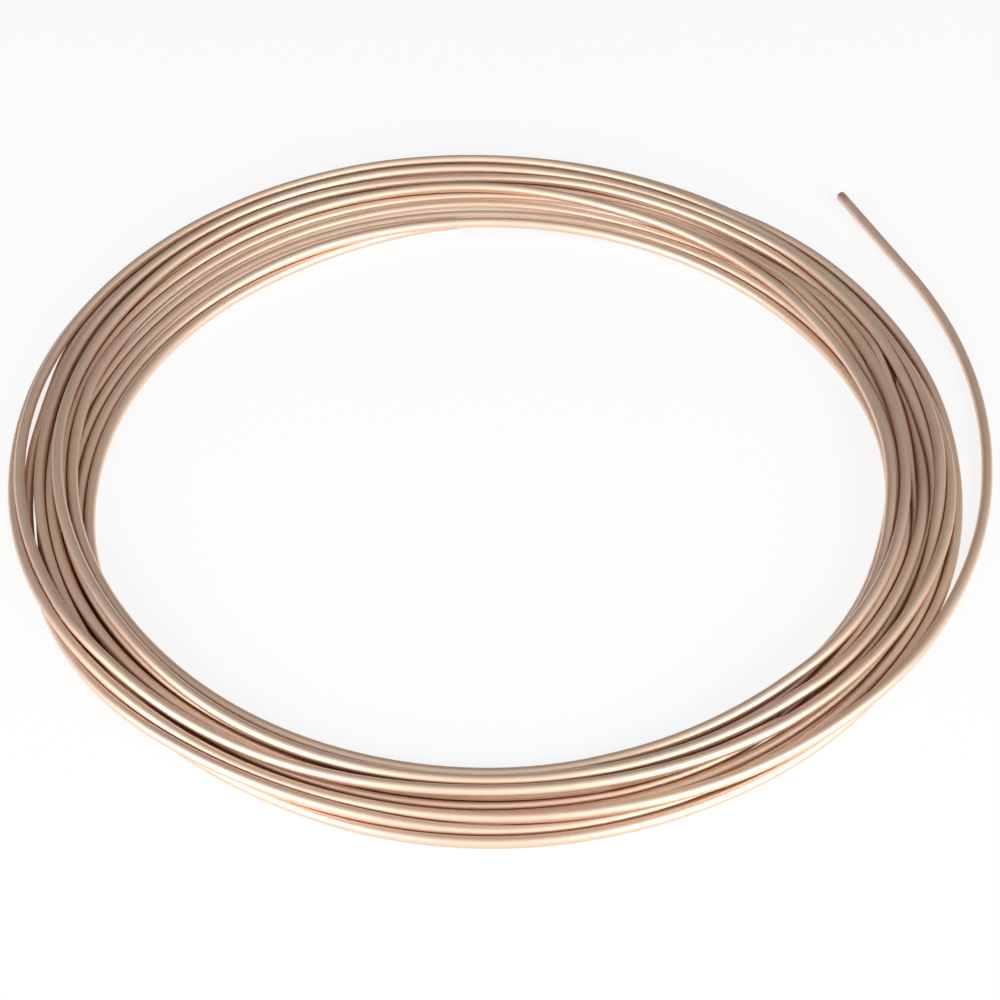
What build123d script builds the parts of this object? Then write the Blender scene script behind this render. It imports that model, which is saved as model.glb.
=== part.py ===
from build123d import *
import os
from math import sqrt

# A loose flat coil of thin drawn copper tube, lying on the floor, in millimetres.
# Its axis is +Z, and the origin is on that axis at floor level.

# Tube stock
tube_diameter = 4.76
tube_wall = 0.71

# Lay of the coil
eye_diameter = 338.0
lane_pitch = 6.5
contact_flat = 0.15

# First and last lane of each layer of full turns, from the floor up, in lane pitches from the eye
layer_lane_shares = ((0, 4), (0.5, 4.5), (2, 3))
# Lane of the open outer turn, which lies on the floor outside the full turns
open_lane_share = 5
# Half a lane, by which a turn of one layer sits beside the two turns that carry it
nest_share = 0.5

# Open outer turn, counter-clockwise from its hidden end to where the free end leaves the coil
open_turn_start_angle = 90.0
open_turn_angle = 230.0

# Free end: one easy bend and a straight run to the cut
free_bend_radius = 257.0
free_bend_angle = 64.0
free_straight_length = 57.0

# Worked out from the driving dimensions
tube_radius = tube_diameter / 2
bore_radius = tube_radius - tube_wall
layer_rise = sqrt((tube_diameter - contact_flat) ** 2 - (nest_share * lane_pitch) ** 2)


def lane_radius(lane_share):
    """Return the radius of a lane's centre line about the coil's axis."""
    return eye_diameter / 2 + tube_radius + lane_share * lane_pitch


def layer_height(layer):
    """Return the height of a layer's tube centres above the floor."""
    return tube_radius + layer * layer_rise


def turn_centres():
    """Return the section's tube centres, one for each full turn."""
    centres = []
    for layer, (first_share, last_share) in enumerate(layer_lane_shares):
        turns = round(last_share - first_share) + 1
        for turn in range(turns):
            centres.append((lane_radius(first_share + turn), layer_height(layer)))
    return centres


def packing_outline():
    """Return the corners of the section's packing, which run through the outermost tube centres."""
    outer_side = []
    eye_side = []
    top_layer = len(layer_lane_shares) - 1
    for layer, (first_share, last_share) in enumerate(layer_lane_shares):
        height = layer_height(layer)
        outer_side.append((lane_radius(last_share), height))
        eye_side.append((lane_radius(first_share), height))
        if 0 < layer < top_layer:
            first_above, last_above = layer_lane_shares[layer + 1]
            outer_side.append((lane_radius(last_above + nest_share), height))
            eye_side.append((lane_radius(first_above - nest_share), height))
    return outer_side + eye_side[::-1]


def wound_turns():
    """Return the full turns as one turned solid, whose section is the tubes and their packing."""
    section = make_face(Polyline(*packing_outline(), close=True))
    for radius, height in turn_centres():
        section += Pos(radius, height) * Circle(tube_radius)
    return revolve(Plane.XZ * section, Axis.Z)


def open_turn_path():
    """Return the centre line of the open outer turn, the free end's bend and its straight run."""
    height = layer_height(0)
    turn = CenterArc((0, 0, height), lane_radius(open_lane_share), open_turn_start_angle, open_turn_angle)
    bend = JernArc(turn @ 1, turn % 1, free_bend_radius, free_bend_angle)
    straight = Line(bend @ 1, bend @ 1 + (bend % 1) * free_straight_length)
    return turn + bend + straight


def swept_round(path, radius):
    """Return a solid round of the given radius along a path."""
    start = Plane(origin=path @ 0, z_dir=path % 0)
    return sweep(start * Circle(radius), path)


def copper_tube_coil():
    """Return the whole coil as one solid, with the tube's bore open at both ends of its outer turn."""
    path = open_turn_path()
    open_turn = swept_round(path, tube_radius) - swept_round(path, bore_radius)
    return wound_turns() + open_turn


os.makedirs("parts", exist_ok=True)
export_step(copper_tube_coil(), "parts/copper_tube_coil.step")
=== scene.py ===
"""Loose flat coil of thin drawn copper tube on a pale floor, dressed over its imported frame.

The tube is one length, wound counter-clockwise seen from above. A table gives the lane and the layer of each
turn at every thirtieth degree, a short list adds bends between those stations, and the turns then settle on
the floor and on each other.
"""
import logging
from dataclasses import dataclass, field
from enum import Enum
from math import cos, pi, radians, sin

import bpy
import numpy as np
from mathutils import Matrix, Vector


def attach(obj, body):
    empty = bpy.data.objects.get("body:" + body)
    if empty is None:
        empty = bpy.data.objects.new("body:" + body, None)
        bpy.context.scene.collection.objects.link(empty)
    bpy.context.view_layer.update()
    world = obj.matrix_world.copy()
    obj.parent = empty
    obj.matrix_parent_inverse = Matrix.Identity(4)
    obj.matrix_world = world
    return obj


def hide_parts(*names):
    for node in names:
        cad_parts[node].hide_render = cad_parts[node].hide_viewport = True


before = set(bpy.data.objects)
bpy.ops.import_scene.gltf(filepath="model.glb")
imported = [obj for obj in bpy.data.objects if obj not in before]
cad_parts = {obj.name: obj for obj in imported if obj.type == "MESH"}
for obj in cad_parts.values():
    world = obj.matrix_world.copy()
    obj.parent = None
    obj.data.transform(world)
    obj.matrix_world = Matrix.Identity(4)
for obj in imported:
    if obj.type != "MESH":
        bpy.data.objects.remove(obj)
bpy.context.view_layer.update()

log = logging.getLogger("copper_tube_coil")

MM = 0.001
NODE = "copper_tube_coil"
BODY = "root"

# Degrees of a full turn, and the table's stations in it
FULL_TURN = 360
STATIONS_PER_TURN = 12
UP = (0.0, 0.0, 1.0)
# Shortest distance that anything is divided by, in metres
LEAST_DISTANCE = 1e-9
# Reach of a bell-shaped weight to each side, in spreads
BELL_REACH = 3
# Sockets of a colour Mix node, which have no names of their own
MIX_SHARE = 0
MIX_FIRST = 6
MIX_SECOND = 7
MIX_RESULT = 2


@dataclass(frozen=True)
class TubeStock:
    """Sizes of the bare tube, in metres."""

    diameter: float = 4.76 * MM
    wall: float = 0.71 * MM
    cut_chamfer: float = 0.18 * MM

    @property
    def radius(self) -> float:
        """Return the outer radius."""
        return self.diameter / 2

    @property
    def bore_radius(self) -> float:
        """Return the radius of the bore."""
        return self.radius - self.wall


@dataclass(frozen=True)
class Turn:
    """One turn of the coil at twelve stations, 30 degrees apart, from the coil's right-hand side.

    A lane is counted in tube diameters outwards from the eye, and a layer in tube diameters up from the
    floor. The last turn has only the stations that the curve into the free end needs.
    """

    lanes: tuple[float, ...]
    layers: tuple[float, ...]


@dataclass(frozen=True)
class Kink:
    """A short sideways bend of one turn between its stations.

    It is counted in lanes, and its angle and spread are in degrees.
    """

    turn: int
    angle: float
    lanes: float
    spread: float


TURNS: tuple[Turn, ...] = (
    Turn((-1.0, -1.0, -1.0, -0.8, -1.9, -1.6, -0.5, 1.2, 0.1, -0.1, 0.1, 0.5),
         (0, 0, 0, 0, 0, 0, 0, 0, 0, 0, 0, 0)),
    Turn((0.6, -0.2, -0.9, -1.9, -1.7, -0.5, 0.5, 2.0, 1.1, 0.9, 1.0, 1.4),
         (0, 0, 0.2, 0.9, 0.8, 0.1, 0, 0, 0, 0, 0, 0.2)),
    Turn((0.9, 0.2, 0.4, 0.4, 0.8, 0.8, 1.5, 2.8, 2.1, 1.9, 1.2, 0.8),
         (0.8, 0.8, 0.1, 0, 0, 0, 0, 0, 0, 0.2, 0.9, 0.9)),
    Turn((0.3, 0.2, 1.8, 3.6, 4.4, 4.0, 2.7, 1.8, 1.6, 1.4, 2.0, 2.2),
         (1.6, 1.3, 0.8, 0.8, 0.5, 0.2, 1, 1, 0.9, 0.9, 0.2, 0)),
    Turn((2.5, 4.1, 4.6, 5.5, 6.1, 4.7, 2.8, 1.6, 1.8, 1.7, 2.0, 2.6),
         (0, 0.4, 0.8, 0.2, 0.7, 0.9, 1.8, 1.9, 1.8, 1.8, 1.6, 0.9)),
    Turn((3.4, 4.8, 6.5, 7.4, 6.9, 6.0, 4.1, 4.9, 5.5, 6.4, 6.2, 6.2),
         (0.2, 0, 0, 0, 0, 0, 0, 0, 0, 0, 0, 0)),
    Turn((6.2, 6.8, 7.5, 8.6, 8.2, 7.5, 5.5, 5.8, 5.7, 5.4, 5.1, 5.1),
         (0, 0.5, 0.3, 0, 0, 0, 0, 0, 1, 0.1, 0, 0)),
    Turn((5.1, 3.1, 1.6, 2.1, 2.3, 1.9, 2.7, 3.7, 3.1, 2.8, 2.8, 1.6),
         (0, 0, 0, 0, 0, 0, 0, 0, 0, 0, 0.2, 0.8)),
    Turn((1.4, 2.0, 3.3, 3.5, 3.8, 2.9, 1.9, 0.6, 0.3, 0.3, 0.8, 1.3),
         (0.1, 0.5, 0.1, 0, 0, 0.2, 1, 0.9, 0.9, 0.9, 1.2, 1.7)),
    Turn((1.5, 3.1, 4.9, 5.1, 5.6, 5.0, 3.3, 3.1, 2.5, 2.3, 2.8, 3.2),
         (1.5, 1, 0, 0, 0, 0, 0.8, 1, 0.9, 0.9, 1, 0.1)),
    Turn((4.1, 4.5, 5.4, 6.8, 7.3, 6.2, 4.1, 3.9, 3.9, 3.8, 3.8, 4.1),
         (0.8, 1.2, 1, 0.9, 1, 1, 0.9, 0.5, 0, 0, 0, 0)),
    Turn((4.6, 5.7, 6.8, 8.2, 8.8, 7.9, 6.4, 4.6, 3.3, 2.7, 3.4, 4.3),
         (1, 0.8, 1, 1, 0.8, 0.8, 1, 1.1, 1.3, 1.8, 1.7, 0.9)),
    Turn((5.6, 6.4, 8.0, 9.4, 9.4, 8.6, 6.9, 5.5, 4.6, 4.6, 5.7, 6.7),
         (0.8, 0.1, 0, 0, 0, 0, 0.2, 0.9, 0.7, 0.7, 0.9, 0.2)),
    Turn((9.3, 12.2, 15.6),
         (0, 0, 0)),
)

KINKS: tuple[Kink, ...] = (
    Kink(turn=6, angle=168, lanes=-0.6, spread=3.5),
)


@dataclass
class CoilLay:
    """The lay of the wound tube: the lanes and layers of its turns, settled on the floor."""

    stock: TubeStock
    eye_diameter: float = 338.0 * MM
    turns: tuple[Turn, ...] = TURNS
    kinks: tuple[Kink, ...] = KINKS
    start_angle: float = 95.0
    free_bend_radius: float = 240.0 * MM
    free_bend_angle: float = 32.6
    free_bend_samples: int = 22
    free_straight_length: float = 64.0 * MM
    free_straight_samples: int = 8
    samples_per_turn: int = 180
    rounds: int = 360
    closing_rounds: int = 80
    parting_share: float = 0.6
    lane_pull: float = 0.04
    stiffness: float = 0.25
    closing_stiffness: float = 0.06
    bend_samples: float = 2.0
    shelter_samples: float = 4.0

    def angles(self) -> np.ndarray:
        """Return the angle of each sample along the tube, in degrees, counted on from turn to turn."""
        step = FULL_TURN / self.samples_per_turn
        return np.arange(self.start_angle, FULL_TURN * (len(self.turns) - 1) + step / 2, step)

    @staticmethod
    def through(stations: np.ndarray, at: np.ndarray) -> np.ndarray:
        """Return the smooth curve through evenly spaced stations (a Catmull-Rom cubic on each span).

        Args:
            stations: The values at stations 0, 1, 2 and so on.
            at: The places to read, in stations.

        Returns:
            The value at each place.
        """
        span = np.clip(np.floor(at).astype(int), 1, len(stations) - 3)
        part = at - span
        before, first, second, after = (stations[span + shift] for shift in (-1, 0, 1, 2))
        slope = second - before
        bend = 2 * before - 5 * first + 4 * second - after
        twist = 3 * (first - second) + after - before
        return first + 0.5 * part * (slope + part * (bend + part * twist))

    def laid(self) -> np.ndarray:
        """Return each sample's radius and height before the turns settle.

        The lanes and layers are smooth curves through the table's stations, and each kink adds a bell to the
        lane.

        Returns:
            The radius and height of each sample.
        """
        angle = self.angles()
        at = angle * STATIONS_PER_TURN / FULL_TURN
        lanes = np.array([lane for turn in self.turns for lane in turn.lanes])
        layers = np.array([layer for turn in self.turns for layer in turn.layers])
        lane = self.through(lanes, at)
        for kink in self.kinks:
            away = (angle - FULL_TURN * kink.turn - kink.angle) / kink.spread
            lane += kink.lanes * np.exp(-0.5 * away ** 2)
        radius = self.eye_diameter / 2 + self.stock.radius + lane * self.stock.diameter
        height = self.stock.radius + np.maximum(self.through(layers, at), 0) * self.stock.diameter
        return np.stack([radius, height], axis=1)

    @staticmethod
    def eased(values: np.ndarray, spread: float) -> np.ndarray:
        """Return the samples averaged with their neighbours along the tube, by a bell-shaped weight.

        Past each end the samples go on as their mirror image through the end sample.

        Args:
            values: The values of each sample, in columns.
            spread: The width of the bell, in samples.

        Returns:
            The averaged values.
        """
        reach = int(BELL_REACH * spread)
        weight = np.exp(-0.5 * (np.arange(-reach, reach + 1) / spread) ** 2)
        weight /= weight.sum()
        head = 2 * values[:1] - values[reach:0:-1]
        foot = 2 * values[-1:] - values[-2:-reach - 2:-1]
        padded = np.concatenate([head, values, foot])
        return np.stack([np.convolve(column, weight, "valid") for column in padded.T], axis=1)

    def parted(self, section: np.ndarray) -> np.ndarray:
        """Return how far each sample is pushed by the turns that it overlaps.

        Samples a whole number of turns apart lie in one plane through the coil's axis. There each pair of
        tubes is a pair of circles, and two circles nearer than a diameter move apart along the line of their
        centres.

        Args:
            section: The radius and height of each sample.

        Returns:
            The push on each sample.
        """
        push = np.zeros_like(section)
        for apart in range(self.samples_per_turn, len(section), self.samples_per_turn):
            gap = section[apart:] - section[:-apart]
            distance = np.maximum(np.hypot(gap[:, 0], gap[:, 1]), LEAST_DISTANCE)
            overlap = np.clip(self.stock.diameter - distance, 0, None)
            half = 0.5 * (overlap / distance)[:, None] * gap
            push[apart:] += half
            push[:-apart] -= half
        return push

    def settled(self) -> np.ndarray:
        """Return each sample's radius and height after the turns have settled on each other.

        In each round the overlapping turns part, every turn is drawn back to its lane and layer and is eased
        along its length as a stiff tube is, and nothing goes under the floor. The closing rounds draw nothing
        back and ease less, so that the turns that still overlap part.

        Returns:
            The radius and height of each sample.
        """
        floor = self.stock.radius
        lanes = self.eased(self.laid(), self.bend_samples)
        section = lanes.copy()
        for settling_round in range(self.rounds + self.closing_rounds):
            closing = settling_round >= self.rounds
            section = section + self.parting_share * self.parted(section)
            drift = section - lanes
            if not closing:
                drift *= 1 - self.lane_pull
            stiffness = self.closing_stiffness if closing else self.stiffness
            drift += stiffness * (self.eased(drift, self.bend_samples) - drift)
            section = lanes + drift
            section[:, 1] = np.maximum(section[:, 1], floor)
        return section

    def free_end(self, foot: np.ndarray, heading: float) -> np.ndarray:
        """Return the free end's centre line: one easy bend to the left and a straight run to the cut.

        Args:
            foot: The point where the free end leaves the wound turns.
            heading: The direction there, in radians from +X.

        Returns:
            The points after the foot.
        """
        swing = np.linspace(0, radians(self.free_bend_angle), self.free_bend_samples + 1)[1:, None]
        ahead = np.array([cos(heading), sin(heading), 0])
        across = np.array([-sin(heading), cos(heading), 0])
        bend = foot + self.free_bend_radius * (np.sin(swing) * ahead + (1 - np.cos(swing)) * across)
        onwards = np.cos(swing[-1]) * ahead + np.sin(swing[-1]) * across
        run = np.linspace(0, self.free_straight_length, self.free_straight_samples + 1)[1:, None]
        return np.concatenate([bend, bend[-1] + run * onwards])

    def sheltered(self, section: np.ndarray, around: np.ndarray) -> np.ndarray:
        """Return how far the other turns shut in each point of the outside: 0 in the open, 1 deep between
        turns.

        In a plane through the coil's axis every other turn is a circle. Its share is the square of the sine
        of half the angle that it fills, times the cosine of its angle off the surface's normal. The shares
        of all turns add up, and are then eased along the tube. The finish paints shade by this share.

        Args:
            section: The radius and height of each sample.
            around: The angles of the outside's points, from the outer side towards the top.

        Returns:
            The share of each sample's points.
        """
        normal = np.stack([np.cos(around), np.sin(around)], axis=1)
        surface = section[:, None] + self.stock.radius * normal
        share = np.zeros(surface.shape[:2])
        for apart in range(self.samples_per_turn, len(section), self.samples_per_turn):
            later = slice(apart, None)
            earlier = slice(None, -apart)
            for near, far in ((later, earlier), (earlier, later)):
                reach = section[far][:, None] - surface[near]
                distance = np.maximum(np.hypot(reach[..., 0], reach[..., 1]), LEAST_DISTANCE)
                facing = np.clip((reach * normal).sum(axis=-1) / distance, 0, None)
                share[near] += facing * np.clip(self.stock.radius / distance, 0, 1) ** 2
        return np.clip(self.eased(share, self.shelter_samples), 0, 1)

    def route(self, section: np.ndarray) -> np.ndarray:
        """Return the tube's centre line: the settled turns and then the free end.

        Args:
            section: The radius and height of each sample of the settled turns.

        Returns:
            The points of the centre line.
        """
        angle = np.radians(self.angles())
        radius, height = section.T
        wound = np.stack([radius * np.cos(angle), radius * np.sin(angle), height], axis=1)
        ahead = wound[-1] - wound[-2]
        return np.concatenate([wound, self.free_end(wound[-1], np.arctan2(ahead[1], ahead[0]))])


@dataclass(frozen=True)
class DrawnCopper:
    """Satin drawn copper tube: pale tan metal with fine draw lines, soft handling marks and painted brown
    shade in the seams between turns.
    """

    name: str = "drawn_copper"
    clean: tuple[float, float, float] = (0.88, 0.67, 0.515)
    rosy: tuple[float, float, float] = (0.87, 0.64, 0.51)
    dull: tuple[float, float, float] = (0.80, 0.59, 0.45)
    # Painted shade: the dark brown that the metal is drawn in where other turns shut it in
    seam_shade: tuple[float, float, float] = (0.42, 0.25, 0.17)
    patch_scale: float = 14.0
    patch_detail: float = 3.0
    rosy_below: float = 0.36
    clean_above: float = 0.62
    mark_scale: float = 130.0
    mark_detail: float = 5.0
    mark_roughness: float = 0.65
    tarnish_start: float = 0.52
    tarnish_end: float = 0.78
    line_scale: tuple[float, float, float] = (9.0, 2600.0, 1.0)
    line_detail: float = 4.0
    line_height: float = 0.012 * MM
    # Shut-in shares at which the painted shade begins and is full
    shade_start: float = 0.22
    shade_end: float = 1.0
    wear_start: float = 0.12
    wear_end: float = 0.42
    smooth_roughness: float = 0.44
    worn_roughness: float = 0.57

    def material(self, uv_name: str, shelter_name: str) -> bpy.types.Material:
        """Return the finish as a material.

        Args:
            uv_name: The UV map that holds the place along the tube and around it, in metres.
            shelter_name: The attribute that holds how far the other turns shut a point in.

        Returns:
            The material, with patches on Object coordinates, draw lines on the UV map and painted brown shade
            where it is shut in.
        """
        made = bpy.data.materials.new(self.name)
        made.use_nodes = True
        nodes = made.node_tree.nodes
        links = made.node_tree.links
        shader = nodes["Principled BSDF"]
        shader.inputs["Metallic"].default_value = 1.0

        # Broad patches of clean and rosy metal
        place = nodes.new("ShaderNodeTexCoord")
        patches = nodes.new("ShaderNodeTexNoise")
        patches.inputs["Scale"].default_value = self.patch_scale
        patches.inputs["Detail"].default_value = self.patch_detail
        links.new(place.outputs["Object"], patches.inputs["Vector"])
        tone = nodes.new("ShaderNodeValToRGB")
        tone.color_ramp.elements[0].position = self.rosy_below
        tone.color_ramp.elements[0].color = (*self.rosy, 1)
        tone.color_ramp.elements[1].position = self.clean_above
        tone.color_ramp.elements[1].color = (*self.clean, 1)
        links.new(patches.outputs["Fac"], tone.inputs["Fac"])

        # Soft handling marks
        marks = nodes.new("ShaderNodeTexNoise")
        marks.inputs["Scale"].default_value = self.mark_scale
        marks.inputs["Detail"].default_value = self.mark_detail
        marks.inputs["Roughness"].default_value = self.mark_roughness
        links.new(place.outputs["Object"], marks.inputs["Vector"])
        tarnish = nodes.new("ShaderNodeMapRange")
        tarnish.inputs["From Min"].default_value = self.tarnish_start
        tarnish.inputs["From Max"].default_value = self.tarnish_end
        links.new(marks.outputs["Fac"], tarnish.inputs["Value"])

        # Fine lines drawn out along the tube
        uv = nodes.new("ShaderNodeUVMap")
        uv.uv_map = uv_name
        stretch = nodes.new("ShaderNodeMapping")
        stretch.inputs["Scale"].default_value = self.line_scale
        links.new(uv.outputs["UV"], stretch.inputs["Vector"])
        lines = nodes.new("ShaderNodeTexNoise")
        lines.inputs["Scale"].default_value = 1.0
        lines.inputs["Detail"].default_value = self.line_detail
        links.new(stretch.outputs["Vector"], lines.inputs["Vector"])

        # Colour, dulled by the marks
        colour = nodes.new("ShaderNodeMix")
        colour.data_type = "RGBA"
        colour.inputs[MIX_SECOND].default_value = (*self.dull, 1)
        links.new(tarnish.outputs["Result"], colour.inputs[MIX_SHARE])
        links.new(tone.outputs["Color"], colour.inputs[MIX_FIRST])

        # Painted shade: brown where the other turns shut the metal in
        shelter = nodes.new("ShaderNodeAttribute")
        shelter.attribute_name = shelter_name
        shade_amount = nodes.new("ShaderNodeMapRange")
        shade_amount.interpolation_type = "SMOOTHSTEP"
        shade_amount.inputs["From Min"].default_value = self.shade_start
        shade_amount.inputs["From Max"].default_value = self.shade_end
        links.new(shelter.outputs["Fac"], shade_amount.inputs["Value"])
        painted_shade_mix = nodes.new("ShaderNodeMix")
        painted_shade_mix.data_type = "RGBA"
        painted_shade_mix.inputs[MIX_SECOND].default_value = (*self.seam_shade, 1)
        links.new(shade_amount.outputs["Result"], painted_shade_mix.inputs[MIX_SHARE])
        links.new(colour.outputs[MIX_RESULT], painted_shade_mix.inputs[MIX_FIRST])
        links.new(painted_shade_mix.outputs[MIX_RESULT], shader.inputs["Base Color"])

        # Rougher where lines and marks meet
        wear = nodes.new("ShaderNodeMath")
        wear.operation = "MULTIPLY"
        links.new(lines.outputs["Fac"], wear.inputs[0])
        links.new(marks.outputs["Fac"], wear.inputs[1])
        rough = nodes.new("ShaderNodeMapRange")
        rough.inputs["From Min"].default_value = self.wear_start
        rough.inputs["From Max"].default_value = self.wear_end
        rough.inputs["To Min"].default_value = self.smooth_roughness
        rough.inputs["To Max"].default_value = self.worn_roughness
        links.new(wear.outputs["Value"], rough.inputs["Value"])
        links.new(rough.outputs["Result"], shader.inputs["Roughness"])

        bump = nodes.new("ShaderNodeBump")
        bump.inputs["Distance"].default_value = self.line_height
        links.new(lines.outputs["Fac"], bump.inputs["Height"])
        links.new(bump.outputs["Normal"], shader.inputs["Normal"])
        return made


@dataclass
class CopperTube:
    """The whole tube as one hollow piece, carried along the settled route."""

    stock: TubeStock
    lay: CoilLay
    finish: DrawnCopper
    sides: int = 24
    bore_row_step: int = 4
    name: str = "wound_copper_tube"
    uv_name: str = "along_and_around"
    shelter_name: str = "shut_in"

    def carried(self) -> tuple[np.ndarray, np.ndarray, np.ndarray]:
        """Return the tube's surface, the length at each of its rows and how far its points are shut in.

        The section is a circle, carried along the route on the route's own side and top directions. The rows
        run along the outside, over the cut free end, back through the bore and over the other cut to the
        first row.

        Returns:
            The points as rows of sides, the length along the tube at each row and the share that each point
            is shut in, which is 1 in the bore; the finish paints shade by this share.
        """
        section = self.lay.settled()
        route = self.lay.route(section)
        tangent = np.gradient(route, axis=0)
        tangent /= np.linalg.norm(tangent, axis=1)[:, None]
        side = np.cross(tangent, UP)
        side /= np.linalg.norm(side, axis=1)[:, None]
        top = np.cross(side, tangent)
        length = np.concatenate([[0.0], np.cumsum(np.linalg.norm(np.diff(route, axis=0), axis=1))])

        # Each cut has an outer rim, two rims of its flat face and a rim in the bore
        last = len(route) - 1
        bore = np.unique(np.append(np.arange(0, last, self.bore_row_step), last))[::-1]
        row = np.concatenate([np.arange(last), [last, last, last, last], bore[1:-1], [0, 0, 0]])
        free_outer, free_face_outer, free_face_inner, free_bore = range(last, last + 4)
        start_bore, start_face_inner, start_face_outer, start_outer = -3, -2, -1, 0

        chamfer = self.stock.cut_chamfer
        shift = np.zeros(len(row))
        shift[[free_outer, free_bore]] = -chamfer
        shift[[start_bore, start_outer]] = chamfer
        radius = np.full(len(row), self.stock.radius)
        radius[free_bore:] = self.stock.bore_radius
        radius[[free_face_inner, start_face_inner]] = self.stock.bore_radius + chamfer
        radius[[free_face_outer, start_face_outer]] = self.stock.radius - chamfer

        # Angles round the section, from the underside
        around = 2 * pi * np.arange(self.sides) / self.sides - pi / 2
        middle = route[row] + shift[:, None] * tangent[row]
        sideways = np.cos(around)[:, None] * side[row][:, None]
        upwards = np.sin(around)[:, None] * top[row][:, None]
        points = middle[:, None] + radius[:, None, None] * (sideways + upwards)
        shelter = np.zeros((len(row), self.sides))
        shelter[:len(section)] = self.lay.sheltered(section, around)
        # Painted shade: the bore takes the full share and is drawn wholly in the shade colour
        shelter[free_bore:start_face_inner] = 1
        return points, length[row], shelter

    def built(self) -> bpy.types.Object:
        """Return the tube as a piece that rides on the coil's body and stands for its solid."""
        points, length, shelter = self.carried()
        rows, sides = points.shape[:2]
        row, side = np.meshgrid(np.arange(rows), np.arange(sides), indexing="ij")
        next_row = (row + 1) % rows
        next_side = (side + 1) % sides
        corners = np.stack([row * sides + side, row * sides + next_side,
                            next_row * sides + next_side, next_row * sides + side], axis=-1).reshape(-1, 4)

        mesh = bpy.data.meshes.new(self.name)
        mesh.from_pydata(points.reshape(-1, 3), [], corners.tolist())
        mesh.shade_smooth()
        uv = mesh.uv_layers.new(name=self.uv_name)
        side_width = 2 * pi * self.stock.radius / sides
        along = np.stack([length[row], length[row], length[next_row], length[next_row]], axis=-1)
        around = side_width * np.stack([side, side + 1, side + 1, side], axis=-1)
        uv.data.foreach_set("uv", np.stack([along, around], axis=-1).astype(np.float32).ravel())
        # The share by which the finish paints shade into the colour
        shut_in = mesh.attributes.new(self.shelter_name, "FLOAT", "POINT")
        shut_in.data.foreach_set("value", shelter.astype(np.float32).ravel())
        mesh.update()

        piece = bpy.data.objects.new(self.name, mesh)
        bpy.context.scene.collection.objects.link(piece)
        mesh.materials.append(self.finish.material(self.uv_name, self.shelter_name))
        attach(piece, BODY)
        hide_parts(NODE)
        log.info("%s: %.2f m of tube, %d points, top at %.1f mm", self.name, length.max(), rows * sides,
                 points[..., 2].max() / MM)
        return piece


class Side(Enum):
    """The two sides of the coil that a lamp stands on."""

    LEFT = -1
    RIGHT = 1


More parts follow.
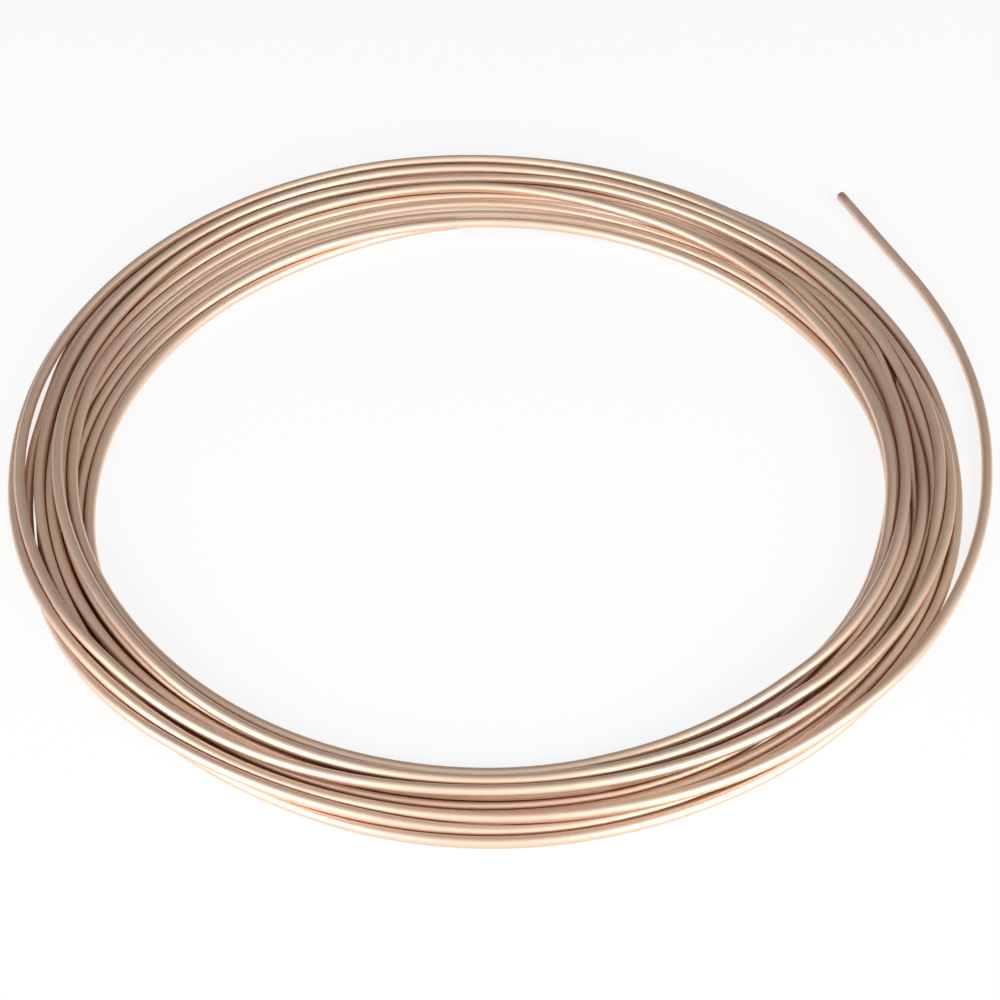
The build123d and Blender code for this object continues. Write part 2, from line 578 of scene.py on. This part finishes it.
@dataclass
class Studio:
    """Pale floor, a soft lamp in front at each side and a room that is bright in front and overhead."""

    floor_size: float = 14.0
    floor_colour: tuple[float, float, float] = (0.9, 0.9, 0.9)
    floor_roughness: float = 0.6
    floor_specular: float = 0.2
    floor_glow_share: float = 0.8
    room_low: float = 0.12
    room_high: float = 0.95
    room_bright_side: tuple[float, float, float] = (0.2, -0.78, 0.59)
    room_fall: float = 1.8
    lamp_size: float = 0.8
    lamp_power: float = 15.5
    lamp_out: float = 1.08
    lamp_front: float = 0.90
    lamp_up: float = 0.5
    lamp_colour: tuple[float, float, float] = (1.0, 1.0, 1.0)

    def floor(self) -> bpy.types.Object:
        """Return the floor, a square at the level that the coil lies on.

        To the camera and in reflections a share of it glows white, and in the rest the coil's shadow stays.

        Returns:
            The floor.
        """
        made = bpy.data.materials.new("pale_floor")
        made.use_nodes = True
        nodes = made.node_tree.nodes
        links = made.node_tree.links
        shader = nodes["Principled BSDF"]
        shader.inputs["Base Color"].default_value = (*self.floor_colour, 1)
        shader.inputs["Roughness"].default_value = self.floor_roughness
        shader.inputs["Specular IOR Level"].default_value = self.floor_specular
        path = nodes.new("ShaderNodeLightPath")
        seen = path.outputs["Is Camera Ray"]
        for mirrored in ("Is Glossy Ray", "Is Transmission Ray"):
            either = nodes.new("ShaderNodeMath")
            either.operation = "MAXIMUM"
            links.new(seen, either.inputs[0])
            links.new(path.outputs[mirrored], either.inputs[1])
            seen = either.outputs["Value"]
        share = nodes.new("ShaderNodeMapRange")
        share.inputs["To Max"].default_value = self.floor_glow_share
        links.new(seen, share.inputs["Value"])
        glow = nodes.new("ShaderNodeEmission")
        whitened = nodes.new("ShaderNodeMixShader")
        links.new(share.outputs["Result"], whitened.inputs["Fac"])
        links.new(shader.outputs["BSDF"], whitened.inputs[1])
        links.new(glow.outputs["Emission"], whitened.inputs[2])
        links.new(whitened.outputs["Shader"], nodes["Material Output"].inputs["Surface"])

        half = self.floor_size / 2
        corners = [(-half, -half, 0), (half, -half, 0), (half, half, 0), (-half, half, 0)]
        mesh = bpy.data.meshes.new("floor")
        mesh.from_pydata(corners, [], [(0, 1, 2, 3)])
        mesh.materials.append(made)
        floor = bpy.data.objects.new("floor", mesh)
        bpy.context.scene.collection.objects.link(floor)
        return floor

    def room(self) -> None:
        """Set the world: bright in front and overhead, dim behind the coil.

        The shade follows a power of how far a direction lies from the dimmest side to the brightest one.
        """
        world = bpy.data.worlds.new("front_lit_room")
        bpy.context.scene.world = world
        world.use_nodes = True
        nodes = world.node_tree.nodes
        links = world.node_tree.links
        place = nodes.new("ShaderNodeTexCoord")
        side = nodes.new("ShaderNodeVectorMath")
        side.operation = "DOT_PRODUCT"
        side.inputs[1].default_value = self.room_bright_side
        links.new(place.outputs["Generated"], side.inputs[0])
        share = nodes.new("ShaderNodeMapRange")
        share.inputs["From Min"].default_value = -1.0
        links.new(side.outputs["Value"], share.inputs["Value"])
        fall = nodes.new("ShaderNodeMath")
        fall.operation = "POWER"
        fall.inputs[1].default_value = self.room_fall
        links.new(share.outputs["Result"], fall.inputs[0])
        shade = nodes.new("ShaderNodeMapRange")
        shade.inputs["To Min"].default_value = self.room_low
        shade.inputs["To Max"].default_value = self.room_high
        links.new(fall.outputs["Value"], shade.inputs["Value"])
        links.new(shade.outputs["Result"], nodes["Background"].inputs["Color"])

    def lamp(self, side: Side) -> bpy.types.Object:
        """Return a large square lamp that stands in front of the coil at one side and faces its middle.

        Args:
            side: The side that the lamp stands on.

        Returns:
            The lamp.
        """
        light = bpy.data.lights.new(f"soft_lamp_{side.name.lower()}", "AREA")
        light.shape = "SQUARE"
        light.size = self.lamp_size
        light.energy = self.lamp_power
        light.color = self.lamp_colour
        lamp = bpy.data.objects.new(light.name, light)
        lamp.location = Vector((side.value * self.lamp_out, -self.lamp_front, self.lamp_up))
        lamp.rotation_euler = (-lamp.location).to_track_quat("-Z", "Y").to_euler()
        lamp.visible_camera = False
        bpy.context.scene.collection.objects.link(lamp)
        return lamp

    def built(self) -> None:
        """Build the floor, the room and the lamps."""
        self.floor()
        self.room()
        for side in Side:
            self.lamp(side)
        log.info("studio: floor, room and %d lamps", len(Side))


@dataclass
class PhotoCamera:
    """The camera at the photograph's viewpoint, aimed at the middle of the coil on the floor."""

    distance: float = 1.0884
    elevation: float = 44.38
    sensor: float = 36.0
    focal_share: float = 2.5139
    middle_column: float = 488.0
    middle_row: float = 470.3
    frame_pixels: float = 1000.0
    sight: float = 50.0

    def built(self) -> bpy.types.Object:
        """Return the camera, with the shift that puts the coil's middle where the photograph has it."""
        view = bpy.data.cameras.new("camera")
        view.sensor_width = self.sensor
        view.lens = self.sensor * self.focal_share
        view.shift_x = 0.5 - self.middle_column / self.frame_pixels
        view.shift_y = self.middle_row / self.frame_pixels - 0.5
        view.clip_end = self.sight
        tilt = radians(self.elevation)
        camera = bpy.data.objects.new("camera", view)
        camera.location = (0, -self.distance * cos(tilt), self.distance * sin(tilt))
        camera.rotation_euler = (pi / 2 - tilt, 0, 0)
        bpy.context.scene.collection.objects.link(camera)
        bpy.context.scene.camera = camera
        return camera


@dataclass
class Scene:
    """The camera, the coil and the studio, in the order in which they are built."""

    stock: TubeStock = field(default_factory=TubeStock)
    finish: DrawnCopper = field(default_factory=DrawnCopper)

    def built(self) -> None:
        """Build the camera, the tube and the studio, and set how colours are shown."""
        bpy.context.scene.view_settings.view_transform = "Standard"
        PhotoCamera().built()
        CopperTube(self.stock, CoilLay(self.stock), self.finish).built()
        Studio().built()


def main() -> None:
    """Build the scene."""
    logging.basicConfig(level=logging.INFO, format="%(message)s")
    Scene().built()


if __name__ == "__main__":
    main()
